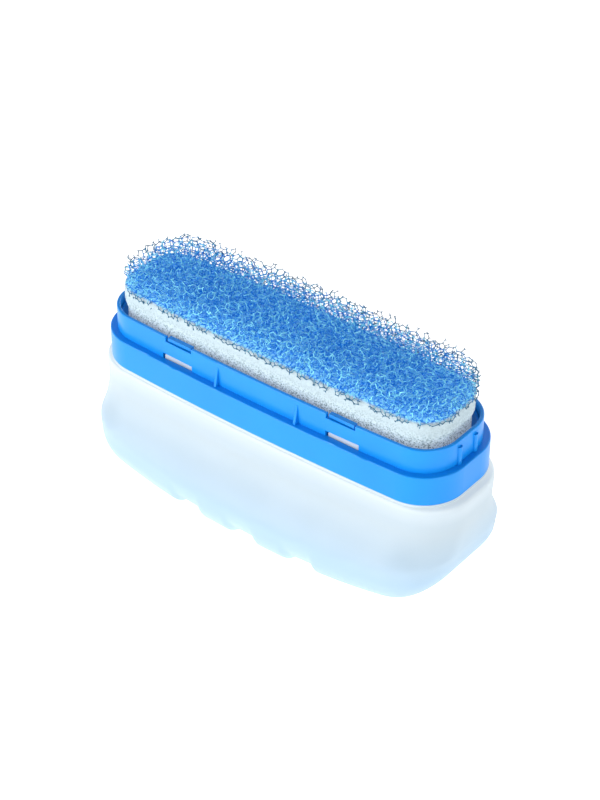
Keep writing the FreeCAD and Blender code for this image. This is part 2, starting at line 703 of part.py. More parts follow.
def build_all():
    """Every node, in the order in which the cartridge is put together."""
    grid_top = "(sizes.base_grid_level + sizes.base_grid_thickness + sizes.fit_gap)"
    coarse_bottom = "(%s + sizes.pad_gap)" % FINE_FOAM_TOP
    coarse_top = "(%s + sizes.coarse_foam_thickness)" % coarse_bottom
    return [
        build_tub(),
        build_base_grid(),
        build_pad("lower_foam", "sizes.lower_foam_inset", grid_top, "sizes.lower_foam_top"),
        build_rim_frame(),
        build_rim_seal(),
        build_foam_basket(),
        build_pad("fine_foam", FOAM_OUT, FINE_FOAM_BOTTOM, FINE_FOAM_TOP),
        build_pad("coarse_foam", FOAM_OUT, coarse_bottom, coarse_top),
    ]


def check_document(nodes):
    """Stop if any object failed or any node isn't one sound solid."""
    for item in doc.Objects:
        if "Invalid" in item.State or "Error" in item.State:
            raise RuntimeError("%s failed: %s" % (item.Name, item.State))
    for node in nodes:
        shape = node.Shape
        if shape.isNull() or not shape.isValid() or len(shape.Solids) != 1:
            raise RuntimeError("%s isn't one valid solid" % node.Label)


def write_nodes(nodes):
    """One STEP file for each node."""
    os.makedirs(NODE_FOLDER, exist_ok=True)
    for node in nodes:
        node.Shape.exportStep(os.path.join(NODE_FOLDER, node.Label + ".step"))
        box = node.Shape.BoundBox
        print("%-12s volume %9.1f  x %.1f..%.1f  y %.1f..%.1f  z %.1f..%.1f" % (
            node.Label, node.Shape.Volume, box.XMin, box.XMax, box.YMin, box.YMax, box.ZMin, box.ZMax))


nodes = build_all()
doc.recompute()
check_document(nodes)
write_nodes(nodes)
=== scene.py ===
"""Looks of the sponge filter cartridge: foam pads, tub, frame, floor, light and camera."""
import math

import bpy
import numpy as np
from mathutils import Matrix, Vector


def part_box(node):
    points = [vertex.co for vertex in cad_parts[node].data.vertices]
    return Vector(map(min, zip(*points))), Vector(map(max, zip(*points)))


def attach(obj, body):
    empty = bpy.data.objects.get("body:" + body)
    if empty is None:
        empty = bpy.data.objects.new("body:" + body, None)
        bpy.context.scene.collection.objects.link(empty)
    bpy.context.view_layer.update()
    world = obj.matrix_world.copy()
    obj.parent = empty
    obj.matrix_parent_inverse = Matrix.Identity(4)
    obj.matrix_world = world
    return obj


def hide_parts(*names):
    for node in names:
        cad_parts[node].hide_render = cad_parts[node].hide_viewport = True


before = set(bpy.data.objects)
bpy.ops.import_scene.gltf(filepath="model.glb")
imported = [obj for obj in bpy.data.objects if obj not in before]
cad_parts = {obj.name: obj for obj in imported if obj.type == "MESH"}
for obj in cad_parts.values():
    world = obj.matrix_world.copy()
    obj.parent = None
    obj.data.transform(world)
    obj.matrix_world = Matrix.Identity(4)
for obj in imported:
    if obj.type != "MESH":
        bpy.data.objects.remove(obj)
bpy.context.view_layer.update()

MM = 0.001
RNG = np.random.default_rng(20)


# ---------------------------------------------------------------- sizes, from the frame

def node_box(node):
    """Lowest and highest corner of a CAD node, as two arrays."""
    low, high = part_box(node)
    return np.array(low), np.array(high)


RIM_LOW, RIM_HIGH = node_box("rim_frame")
TUB_HIGH = node_box("tub")[1]
COARSE_LOW, COARSE_HIGH = node_box("coarse_foam")
LOWER_LOW, LOWER_HIGH = node_box("lower_foam")
RIM_LEVEL, RIM_TOP = RIM_LOW[2], RIM_HIGH[2]

# An outline has straight ends, bowed sides and round corners: its size over all and its two radii.
RIM = {"length": RIM_HIGH[0] * 2, "width": 46.1 * MM, "side": 1.230, "corner": 16.5 * MM}
BELLY = {"length": RIM_HIGH[0] * 2 + 3.0 * MM, "width": TUB_HIGH[1] * 2, "side": 0.490,
         "corner": 20.0 * MM}
SMALLEST_CORNER = 0.3 * MM
PAD_INSET = 5.45 * MM
FINE_INSET, LOWER_INSET = PAD_INSET + 0.2 * MM, 6.0 * MM

# Tub wall from its shoulder down to its heel: levels, and how far it stands out of its outline.
WALL, FLOOR_THICKNESS = 1.3 * MM, 3.0 * MM
SHOULDER_LEVEL = RIM_LEVEL - 1.1 * MM
LIP_OUT, LIP_LEVEL, LIP_ROUND = 2.6 * MM, RIM_LEVEL - 3.2 * MM, 1.1 * MM
WAIST_OUT, WAIST_LEVEL = 2.2 * MM, RIM_LEVEL - 10.0 * MM
SIDE_LIP_SHARE = 0.12
BELLY_LEVEL = 15.3 * MM
HEEL_INSET, HEEL_ROUND, HEEL_BLEND = 0.6 * MM, 13.0 * MM, 8.0 * MM

# The tub's left belly swells and its right heel is drawn in, over spans given as start and end.
BELLY_SWELL, SWELL_ALONG, SWELL_LEVELS = 1.1 * MM, (-20 * MM, -60 * MM), (30 * MM, 15 * MM)
HEEL_PULL, PULL_ALONG, PULL_LEVELS = 2.7 * MM, (45 * MM, 70 * MM), (15 * MM, 2 * MM)
PULL_ACROSS, CORNER_RELIEF = (10 * MM, 28 * MM), 0.85

# Tub underside: a keel that rises to both ends, three flutes across it and nine outlet slots.
KEEL_FLAT, KEEL_RADIUS, KEEL_LEVELS = 17.0 * MM, 0.336, (HEEL_ROUND, HEEL_ROUND + 16 * MM)
FLUTE_PITCH, FLUTE_HALF, FLUTE_RAMP, FLUTE_DEPTH = 25.0 * MM, 7.3 * MM, 3.0 * MM, 1.9 * MM
FLUTE_ANGLES, FLUTE_ACROSS = (-0.25, 0.60), (10 * MM, 16 * MM)
OUTLET_LENGTH, OUTLET_WIDTH, OUTLET_PITCH = 9.0 * MM, 2.4 * MM, (25.0 * MM, 12.0 * MM)
OUTLET_LEVELS, OUTLET_ARC_POINTS = (-2.0 * MM, 9.0 * MM), 9

# Tub neck inside the rim, the basket's seat below it, and the clip tongues that stand on it.
NECK_OUT, NECK_IN, NECK_TOP = 2.0 * MM, 3.9 * MM, RIM_LEVEL + 9.4 * MM
SEAT_IN, SEAT_TOP = 5.6 * MM, RIM_LEVEL + 1.2 * MM
TONGUE_CENTRES, TONGUE_WIDTH, TONGUE_BEVEL = (-35.7 * MM, 36.3 * MM), 12.6 * MM, 0.12 * MM
TONGUE_FACE, TONGUE_TOP = 19.48 * MM, TUB_HIGH[2]
TONGUE_PROFILE = ((1.3 * MM, NECK_TOP - 1.0 * MM), (0.4 * MM, NECK_TOP - 1.0 * MM),
                  (0.0, NECK_TOP + 0.6 * MM), (0.0, TONGUE_TOP - 1.1 * MM), (0.55 * MM, TONGUE_TOP),
                  (0.8 * MM, TONGUE_TOP), (0.8 * MM, NECK_TOP + 0.6 * MM))


# ---------------------------------------------------------------- outlines and meshes

def smooth(value):
    """Smooth step from 0 to 1."""
    value = np.clip(value, 0, 1)
    return value * value * (3 - 2 * value)


def fade(value, span):
    """Smooth step from 0 at a span's start to 1 at its end."""
    start, end = span
    return smooth((value - start) / (end - start))


def mixed_outline(share):
    """Outline between the rim's, at 0, and the belly's, at 1."""
    return {key: (1 - share) * RIM[key] + share * BELLY[key] for key in RIM}


def outline_parts(outline, inset):
    """Half length, corner and side radius, level of the side's centre, and corner's centre."""
    half_x = outline["length"] / 2 - inset
    corner = max(outline["corner"] - inset, SMALLEST_CORNER)
    side = outline["side"] - inset
    bow_y = outline["width"] / 2 - inset - side
    centre_x = half_x - corner
    centre_y = bow_y + math.sqrt((side - corner) ** 2 - centre_x ** 2)
    return half_x, corner, side, bow_y, centre_x, centre_y


def ring(outline, inset, steps):
    """Points round an outline, from the middle of its right end.

    steps gives how many edges a quarter has on its end, its corner and its side.
    """
    half_x, corner, side, bow_y, centre_x, centre_y = outline_parts(outline, inset)
    turn = math.atan2(centre_y - bow_y, centre_x)
    ends, corners, sides = steps
    low = np.linspace(0, max(centre_y, 0), ends, endpoint=False)
    end_points = np.column_stack([np.full(ends, half_x), low])
    angles = np.linspace(0, turn, corners, endpoint=False)
    corner_points = np.column_stack([centre_x + corner * np.cos(angles),
                                     centre_y + corner * np.sin(angles)])
    angles = np.linspace(turn, math.pi / 2, sides + 1)
    side_points = np.column_stack([side * np.cos(angles), bow_y + side * np.sin(angles)])
    quarter = np.vstack([end_points, corner_points, side_points])
    back = quarter[-2::-1] * (-1, 1)
    half = np.vstack([quarter, back])
    return np.vstack([half[:-1], -half[:-1]])


def outside_by(points, outline, inset):
    """How far each point lies outside an outline; negative inside it."""
    half_x, corner, side, bow_y, centre_x, centre_y = outline_parts(outline, inset)
    x, y = np.abs(points[:, 0]), np.abs(points[:, 1])
    to_corner = np.hypot(x - centre_x, y - centre_y) - corner
    to_side = np.hypot(x, y - bow_y) - side
    to_end = x - half_x
    in_corner = (x > centre_x) & (y > centre_y)
    return np.where(in_corner, to_corner, np.maximum(to_side, to_end))


def outwards_at(points, outline, inset):
    """Direction on the floor plane in which each point leaves the outline fastest."""
    nudge = 0.01 * MM
    here = outside_by(points, outline, inset)
    return np.column_stack([outside_by(points + np.array(step), outline, inset) - here
                            for step in ((nudge, 0, 0), (0, nudge, 0))]) / nudge


def new_mesh(name, points, faces, material, rounded=True):
    """Object with a mesh of these points and faces, shaded smooth where it is rounded."""
    mesh = bpy.data.meshes.new(name)
    mesh.from_pydata([tuple(p) for p in points], [], [tuple(f) for f in faces])
    mesh.validate()
    mesh.update()
    mesh.materials.append(material)
    mesh.polygons.foreach_set("use_smooth", [rounded] * len(mesh.polygons))
    made = bpy.data.objects.new(name, mesh)
    bpy.context.scene.collection.objects.link(made)
    return made


def keep_values(piece, label, values):
    """Numbers kept at a piece's vertices under a label, for its material."""
    layer = piece.data.attributes.new(label, "FLOAT", "POINT")
    layer.data.foreach_set("value", values.astype(np.float32))


def band_faces(count, start=0):
    """Quads between one row of points that goes round and the next."""
    return [(start + i, start + (i + 1) % count, start + count + (i + 1) % count, start + count + i)
            for i in range(count)]


def skin_faces(rows, count, straight):
    """Quads between rows of points that go round, with the first and last row closed across.

    straight is how many edges a row has from the middle of an end to its corner.
    """
    faces = [face for row in range(rows - 1) for face in band_faces(count, row * count)]
    half = count // 2
    near = [i % count for i in range(-straight - 1, straight + 2)]
    far = [half + i for i in range(-straight - 1, straight + 2)]
    across = [near, far]
    across += [(i, i + 1, count - i - 1, count - i)
               for i in range(straight + 1, half - straight - 1)]
    last = (rows - 1) * count
    faces += [tuple(face)[::-1] for face in across]
    faces += [tuple(last + i for i in face) for face in across]
    return faces


# ---------------------------------------------------------------- materials

# Noise scales per metre, and what each finish lets through and bends.
DRIFT_SCALE, CLOUD_SCALE, GRAIN_SCALE, HAZE_SCALE = 35.0, 60.0, 2500.0, 900.0
PLASTIC_IOR, TUB_IOR, STRUT_IOR, TUB_TRANSMISSION = 1.38, 1.42, 1.36, 0.35

# Colours of the tub's wall and the spans of level over which they change.
# Painted light: the lighter band under the rim and the bright shoulder hide the skirt's shadow on
# the wall.
LOWER_WALL_LEVELS, UNDER_RIM_LIGHT_LEVELS = (16 * MM, 34 * MM), (38 * MM, 45 * MM)
SHOULDER_LIGHT_LEVELS = (43.2 * MM, 45.2 * MM)
LOWER_WALL, UPPER_WALL, UNDER_RIM_PAINTED_LIGHT = (0.425, 0.57, 0.69), (0.52, 0.60, 0.65), (0.58, 0.65, 0.69)
# Painted glows: a little all over the wall, more under the rim and most at the shoulder.
UNDER_RIM_PAINTED_GLOW, SHOULDER_PAINTED_GLOW, WALL_PAINTED_GLOW = (0.72, 0.79, 0.84), (1.15, 1.25, 1.28), 0.20

# Colours of the foams with their painted shade and painted glows, and the spans of depth from a
# pad's edge over which they change.
STRUT_EDGE_PAINTED_GLOW, STRUT_EDGE_SHADE_DEPTHS = (0.0, 0.01, 0.02), (0.8 * MM, 4.2 * MM)
PAD_PAINTED_GLOW, PAD_FOOT_PAINTED_GLOW, PAD_FOOT_GLOW_HEIGHT = (0.08, 0.10, 0.11), (0.60, 0.67, 0.67), 4.5 * MM
# Painted shade and light from the coarse pad on the fine pad's top: its colours, its net of strut
# shadows and its spans of depth from the edge.
PAINTED_FOAM_LIGHT, PAINTED_EDGE_LIGHT, STRUT_SHADOW_CELL = (0.20, 0.55, 0.88), (0.30, 0.74, 1.0), 1.9 * MM
PAINTED_EDGE_DEPTHS, PAINTED_FOAM_DEPTHS = (1.5 * MM, 6.0 * MM), (0.2 * MM, 1.1 * MM)
# Painted shade in the pores and how much of it shows, and the mottle of the pad's painted top.
PORE_SHADE_SHARES, PORE_DISTANCES, PORE_PATCH_SCALE, MOTTLE_SCALE = (0.12, 1.0), (0.62, 0.20), 0.30, 0.9


def new_material(name):
    """New material, its node tree and its Principled shader."""
    material = bpy.data.materials.new(name)
    material.use_nodes = True
    tree = material.node_tree
    return material, tree, tree.nodes["Principled BSDF"]


def mix_colours(tree, factor, first, second):
    """Colour between two colours, each given as numbers or as a socket, by a factor socket."""
    mix = tree.nodes.new("ShaderNodeMix")
    mix.data_type = "RGBA"
    tree.links.new(factor, mix.inputs["Factor"])
    for key, colour in (("A", first), ("B", second)):
        if isinstance(colour, tuple):
            mix.inputs[key].default_value = (*colour, 1)
        else:
            tree.links.new(colour, mix.inputs[key])
    return mix.outputs["Result"]


def attribute(tree, name):
    """Number kept at each vertex under a name."""
    node = tree.nodes.new("ShaderNodeAttribute")
    node.attribute_name = name
    return node.outputs["Fac"]


def object_height(tree):
    """Height in the object's own space."""
    place = tree.nodes.new("ShaderNodeTexCoord")
    parts = tree.nodes.new("ShaderNodeSeparateXYZ")
    tree.links.new(place.outputs["Object"], parts.inputs["Vector"])
    return parts.outputs["Z"]


def object_noise(tree, scale, detail=3.0):
    """Noise fixed to the object's own space."""
    place = tree.nodes.new("ShaderNodeTexCoord")
    texture = tree.nodes.new("ShaderNodeTexNoise")
    texture.inputs["Scale"].default_value = scale
    texture.inputs["Detail"].default_value = detail
    tree.links.new(place.outputs["Object"], texture.inputs["Vector"])
    return texture.outputs["Fac"]


def spread(tree, socket, low, high, to_low=0.0, to_high=1.0):
    """Value mapped from one range to another and clamped."""
    stretch = tree.nodes.new("ShaderNodeMapRange")
    tree.links.new(socket, stretch.inputs["Value"])
    for key, value in (("From Min", low), ("From Max", high),
                       ("To Min", to_low), ("To Max", to_high)):
        stretch.inputs[key].default_value = value
    return stretch.outputs["Result"]


def add_bump(tree, shader, socket, strength, distance):
    """Relief from a height socket."""
    bump = tree.nodes.new("ShaderNodeBump")
    bump.inputs["Strength"].default_value = strength
    bump.inputs["Distance"].default_value = distance
    tree.links.new(socket, bump.inputs["Height"])
    tree.links.new(bump.outputs["Normal"], shader.inputs["Normal"])


def add_painted_glow(tree, shader, colour, strength):
    """Painted light: emission that stands in for light that has spread inside a translucent
    material and comes back out of it.
    """
    tree.links.new(colour, shader.inputs["Emission Color"])
    shader.inputs["Emission Strength"].default_value = strength


def moulded_plastic(name, colour, shade, roughness):
    """Satin moulded plastic: slow colour drift, fine spark-eroded grain and uneven gloss."""
    material, tree, shader = new_material(name)
    drift = spread(tree, object_noise(tree, DRIFT_SCALE), 0.35, 0.65)
    tree.links.new(mix_colours(tree, drift, colour, shade), shader.inputs["Base Color"])
    cloud = object_noise(tree, CLOUD_SCALE)
    gloss = spread(tree, cloud, 0.3, 0.7, roughness - 0.02, roughness + 0.03)
    tree.links.new(gloss, shader.inputs["Roughness"])
    shader.inputs["IOR"].default_value = PLASTIC_IOR
    add_bump(tree, shader, object_noise(tree, GRAIN_SCALE, 1.0), 0.05, 0.04 * MM)
    return material


def frosted_plastic(name):
    """Milky translucent polypropylene, more cyan lower down, with painted light: lighter under the
    rim and glowing, most at the shoulder under the skirt.
    """
    material, tree, shader = new_material(name)
    height = object_height(tree)
    wall = mix_colours(tree, spread(tree, height, *LOWER_WALL_LEVELS), LOWER_WALL, UPPER_WALL)
    # Painted light: a lighter colour under the rim, where the skirt's shadow falls.
    under_rim_light = spread(tree, height, *UNDER_RIM_LIGHT_LEVELS)
    colour = mix_colours(tree, under_rim_light, wall, UNDER_RIM_PAINTED_LIGHT)
    tree.links.new(colour, shader.inputs["Base Color"])
    # Painted light: the shoulder under the skirt glows brightest.
    shoulder = spread(tree, height, *SHOULDER_LIGHT_LEVELS)
    light = mix_colours(tree, under_rim_light, colour, UNDER_RIM_PAINTED_GLOW)
    add_painted_glow(tree, shader, mix_colours(tree, shoulder, light, SHOULDER_PAINTED_GLOW), WALL_PAINTED_GLOW)
    cloud = spread(tree, object_noise(tree, CLOUD_SCALE), 0.3, 0.7, 0.36, 0.46)
    tree.links.new(cloud, shader.inputs["Roughness"])
    shader.inputs["IOR"].default_value = TUB_IOR
    shader.inputs["Transmission Weight"].default_value = TUB_TRANSMISSION
    add_bump(tree, shader, object_noise(tree, HAZE_SCALE, 2.0), 0.1, 0.1 * MM)
    return material


def reticulated(name, deep, bright, edge, glow):
    """Glossy skeletal foam: struts from deep to bright, with painted shade on buried ones and on
    edge ones that don't face the front right, and a painted glow.
    """
    material, tree, shader = new_material(name)
    # Painted shade: struts near the pad's edge take the dark edge colour.
    inner = spread(tree, attribute(tree, "edge_depth"), *STRUT_EDGE_SHADE_DEPTHS)
    strut = mix_colours(tree, attribute(tree, "strut_tone"), deep, bright)
    tree.links.new(mix_colours(tree, inner, edge, strut), shader.inputs["Base Color"])
    # Painted glow: struts away from the edge glow blue, edge struts hardly at all.
    add_painted_glow(tree, shader, mix_colours(tree, inner, STRUT_EDGE_PAINTED_GLOW, glow), 1.0)
    shader.inputs["Roughness"].default_value = 0.35
    shader.inputs["IOR"].default_value = STRUT_IOR
    return material


def product(tree, first, second):
    """Product of two sockets."""
    times = tree.nodes.new("ShaderNodeMath")
    times.operation = "MULTIPLY"
    tree.links.new(first, times.inputs[0])
    tree.links.new(second, times.inputs[1])
    return times.outputs["Value"]


def fine_cells(name, colour, pore_shade, cell, glow, faint_shade_level, deep_shade_level, painted_foam_shade=None):
    """Soft matt foam with fine open pores, painted dark as shade in them, more towards one level
    than another.

    With a colour given for it, the top gets painted shade and light from another pad above it, away
    from its edge.
    """
    material, tree, shader = new_material(name)
    height = object_height(tree)
    place = tree.nodes.new("ShaderNodeTexCoord")
    cells = tree.nodes.new("ShaderNodeTexVoronoi")
    cells.inputs["Scale"].default_value = 1 / cell
    tree.links.new(place.outputs["Object"], cells.inputs["Vector"])
    # Painted shade: the pores show dark, and more so towards one level.
    pore_shade_share = spread(tree, height, faint_shade_level, deep_shade_level, *PORE_SHADE_SHARES)
    patch = spread(tree, object_noise(tree, PORE_PATCH_SCALE / cell), 0.35, 0.6, 0.55, 1.0)
    hole = spread(tree, cells.outputs["Distance"], *PORE_DISTANCES)
    shown = product(tree, product(tree, hole, pore_shade_share), patch)
    skin = mix_colours(tree, shown, colour, pore_shade)
    # Painted light: the pad glows a little all over, and more at its foot except in its pores, to
    # lift the shade where the basket grips it.
    foot = spread(tree, height, deep_shade_level + PAD_FOOT_GLOW_HEIGHT, deep_shade_level)
    lit = product(tree, foot, spread(tree, shown, 0.0, 1.0, 1.0, 0.2))
    light = mix_colours(tree, lit, PAD_PAINTED_GLOW, PAD_FOOT_PAINTED_GLOW)
    if painted_foam_shade:
        # Painted shade and light from the pad above: blue shade mottled with lighter blue, and pale
        # cyan light near the edge crossed by a net of painted strut shadows.
        from_edge = attribute(tree, "edge_depth")
        strut_shadow_net = tree.nodes.new("ShaderNodeTexVoronoi")
        strut_shadow_net.feature = "DISTANCE_TO_EDGE"
        strut_shadow_net.inputs["Scale"].default_value = 1 / STRUT_SHADOW_CELL
        tree.links.new(place.outputs["Object"], strut_shadow_net.inputs["Vector"])
        strut_shadow_lines = spread(tree, strut_shadow_net.outputs["Distance"], 0.13, 0.05)
        mottle = spread(tree, object_noise(tree, MOTTLE_SCALE / cell, 2.0), 0.42, 0.58)
        painted_foam_tint = mix_colours(tree, mottle, painted_foam_shade, PAINTED_FOAM_LIGHT)
        painted_edge_tint = mix_colours(tree, strut_shadow_lines, PAINTED_EDGE_LIGHT, painted_foam_shade)
        painted_foam_tint = mix_colours(tree, spread(tree, from_edge, *PAINTED_EDGE_DEPTHS), painted_edge_tint, painted_foam_tint)
        painted_foam_share = spread(tree, from_edge, *PAINTED_FOAM_DEPTHS)
        skin = mix_colours(tree, painted_foam_share, skin, painted_foam_tint)
        light = mix_colours(tree, painted_foam_share, light, painted_foam_tint)
    tree.links.new(skin, shader.inputs["Base Color"])
    add_painted_glow(tree, shader, light, glow)
    shader.inputs["Roughness"].default_value = 0.85
    add_bump(tree, shader, cells.outputs["Distance"], 0.5, 0.3 * MM)
    return material


# ---------------------------------------------------------------- coarse foam

# Cell size, and the shares of it by which seeds are shaken and slow waves push the foam about.
FOAM_CELL, FOAM_TURN = 6.3 * MM, {"X": 0.55, "Y": 0.37, "Z": 0.8}
SEED_SHAKE, RELAX_ROUNDS = 0.032, 2
WAVES, WAVE_LENGTHS, WAVE_PUSH = 5, (2, 4), 0.05

# Radius of a strut at its ends and its middle, its variation, and how far it runs into its knots.
STRUT_END, STRUT_MIDDLE, STRUT_GIRTHS = 0.21 * MM, 0.135 * MM, (0.85, 1.15)
KNOT_OVERLAP = 0.06 * MM

# Outline of the foam, how far its top is trimmed, and the share and length of loose ends.
COARSE = dict(RIM, length=RIM["length"] - 2.0 * MM)
COARSE_SHIFT = np.array((0.7 * MM, 0, 0))
TOP_TRIM, END_TRIM, END_TRIM_ALONG = 1.2 * MM, 1.6 * MM, (56 * MM, 68 * MM)
LOOSE_SHARE, LOOSE_LENGTHS = 0.6, (0.15, 0.45)

# Fringe that hangs over the fine pad's upper edge.
FRINGE_OUT, FRINGE_DROP, FRINGE_REACH, FRINGE_RISE = 0.9 * MM, 1.9 * MM, 1.9 * MM, 1.6 * MM
FRINGE_CLEAR, FRINGE_SLACK = 0.15 * MM, 0.05 * MM
COARSE_INSET = PAD_INSET - FRINGE_OUT

# Painted shade: struts along the edge are painted dark except where they face the front right, and
# buried ones are painted darker.
FRONT, FRONT_FACING, FRONT_LEVELS = np.array((0.5, -0.87)), (-0.1, 0.4), (-0.8 * MM, 0.8 * MM)
FRONT_DEPTH, BURIED_SHADE, BURIED_DEPTHS = 3.0 * MM, 0.25, (0, 6.0 * MM)


def turned_about(points):
    """Each point with its coordinates in their three turned orders."""
    return np.vstack([points, np.roll(points, 1, axis=1), np.roll(points, 2, axis=1)])


def foam_cell_pattern():
    """Cell centres and corners of a foam of twelve- and fourteen-sided cells, in one unit cube."""
    signs = np.array([(a, b) for a in (-1, 1) for b in (-1, 1)])
    cube = np.array([(a, b, c) for a in (-1, 1) for b in (-1, 1) for c in (-1, 1)]) * 5 / 24
    tall = turned_about(np.column_stack([np.zeros(4), signs[:, 0] * 5 / 32, signs[:, 1] * 5 / 16]))
    wide = turned_about(np.column_stack([np.zeros(4), signs[:, 0] * 5 / 16, signs[:, 1] * 5 / 32]))
    half = np.array((0.5, 0.5, 0.5))
    shared = turned_about(np.array([(0.25, 0.5, 0.0), (0.75, 0.5, 0.0)]))
    others = turned_about(np.array([(0.25, 0.0, 0.5), (0.75, 0.0, 0.5)]))
    centres = np.vstack([np.zeros((1, 3)), half[None], others])
    corners = np.vstack([cube, tall, cube + half, wide + half, shared])
    return centres, corners


def fill_box(pattern, turn, middle, low, high, margin):
    """Copies of a unit pattern turned, scaled and laid through a box with a margin."""
    reach = int(math.ceil((np.linalg.norm(high - low) / 2 + margin) / FOAM_CELL)) + 1
    axis = np.arange(-reach, reach + 1)
    steps = np.stack(np.meshgrid(axis, axis, axis, indexing="ij"), axis=-1).reshape(-1, 3)
    places = (steps[:, None, :] + pattern[None]).reshape(-1, 3) * FOAM_CELL @ turn.T + middle
    near = np.all((places > low - margin) & (places < high + margin), axis=1)
    return places[near]


def circumcentres(tetrahedra):
    """Centre of the sphere through the four corners of each tetrahedron."""
    origin = tetrahedra[:, :1]
    edges = tetrahedra[:, 1:] - origin
    squares = (edges ** 2).sum(axis=2) / 2
    return origin[:, 0] + np.linalg.solve(edges, squares[..., None])[..., 0]


def skeletal_foam(low, high):
    """Corner points and struts of an irregular open-cell foam that fills a box."""
    centres, corners = foam_cell_pattern()
    about_x, about_y, about_z = [Matrix.Rotation(angle, 3, axis)
                                 for axis, angle in FOAM_TURN.items()]
    turn = np.array(about_x @ about_y @ about_z)
    middle = (low + high) / 2
    seeds = fill_box(centres, turn, middle, low, high, 2 * FOAM_CELL)
    corners = fill_box(corners, turn, middle, low, high, FOAM_CELL)
    nearest = np.vstack([
        np.argpartition(((block[:, None] - seeds[None]) ** 2).sum(axis=2), 4, axis=1)[:, :4]
        for block in np.array_split(corners, 1 + len(corners) // 500)])
    nearest.sort(axis=1)
    shaken = seeds + RNG.normal(0, SEED_SHAKE * FOAM_CELL, seeds.shape)
    places = circumcentres(shaken[nearest])
    count = len(seeds)
    keys, owners = [], []
    for left_out in range(4):
        three = np.delete(nearest, left_out, axis=1).astype(np.int64)
        keys.append((three[:, 0] * count + three[:, 1]) * count + three[:, 2])
        owners.append(np.arange(len(nearest)))
    keys, owners = np.concatenate(keys), np.concatenate(owners)
    order = np.argsort(keys, kind="stable")
    keys, owners = keys[order], owners[order]
    same = np.nonzero(keys[1:] == keys[:-1])[0]
    struts = np.column_stack([owners[same], owners[same + 1]])
    for relax_round in range(RELAX_ROUNDS):
        total = np.zeros_like(places)
        degree = np.zeros(len(places))
        for one, other in ((0, 1), (1, 0)):
            np.add.at(total, struts[:, one], places[struts[:, other]])
            np.add.at(degree, struts[:, one], 1)
        full = degree == 4
        places[full] = 0.5 * places[full] + 0.5 * total[full] / 4
    for wave in range(WAVES):
        direction = RNG.normal(size=3)
        wave_length = RNG.uniform(*WAVE_LENGTHS) * FOAM_CELL
        direction *= 2 * math.pi / (wave_length * np.linalg.norm(direction))
        push = RNG.normal(size=3) * WAVE_PUSH * FOAM_CELL
        places = places + np.sin(places @ direction + RNG.uniform(0, 6.28))[:, None] * push
    return places, struts


def strut_mesh(name, starts, ends, material, shade_depths, tones):
    """Three-sided struts, thick where they meet and thin in the middle."""
    along = ends - starts
    length = np.linalg.norm(along, axis=1, keepdims=True)
    unit = along / length
    helper = np.where(np.abs(unit[:, 2:3]) < 0.9, (0.0, 0.0, 1.0), (1.0, 0.0, 0.0))
    first = np.cross(unit, helper)
    first /= np.linalg.norm(first, axis=1, keepdims=True)
    second = np.cross(unit, first)
    roll = RNG.uniform(0, 2 * math.pi, (len(starts), 1))
    girth = RNG.uniform(*STRUT_GIRTHS, (len(starts), 1))
    rows = []
    for place, radius in ((0.0, STRUT_END), (0.5, STRUT_MIDDLE), (1.0, STRUT_END)):
        overlap = unit * KNOT_OVERLAP * (2 * place - 1)
        for corner in range(3):
            angle = roll + corner * 2 * math.pi / 3
            side = np.cos(angle) * first + np.sin(angle) * second
            rows.append(starts + along * place + overlap + side * radius * girth)
    points = np.stack(rows, axis=1).reshape(-1, 3)
    base = (np.arange(len(starts)) * len(rows))[:, None]
    shape = band_faces(3) + band_faces(3, 3) + [(2, 1, 0), (6, 7, 8)]
    faces = [tuple(face) for part in shape for face in base + np.array(part)]
    made = new_mesh(name, points, faces, material)
    for label, values in (("edge_depth", shade_depths), ("strut_tone", tones)):
        keep_values(made, label, np.repeat(values, len(rows)))
    return made


def lay_over_edge(places, level):
    """Foam corners, with those near the fine pad's upper edge drawn out to hang over it."""
    past = outside_by(places, RIM, FINE_INSET)
    above = (places[:, 2] - level) / FRINGE_RISE
    near = (past > -FRINGE_REACH) & (past < FRINGE_OUT)
    near &= (above < 1) & (places[:, 2] > level - 2 * FRINGE_DROP)
    share = (past + FRINGE_REACH) / (FRINGE_REACH + FRINGE_OUT)
    target = FRINGE_CLEAR + (FRINGE_OUT + FRINGE_SLACK) * share
    pulled = np.where(near, (target - past) * (1 - smooth(above)), 0.0)
    moved = places.copy()
    moved[:, :2] += outwards_at(places, RIM, FINE_INSET) * pulled[:, None]
    return moved


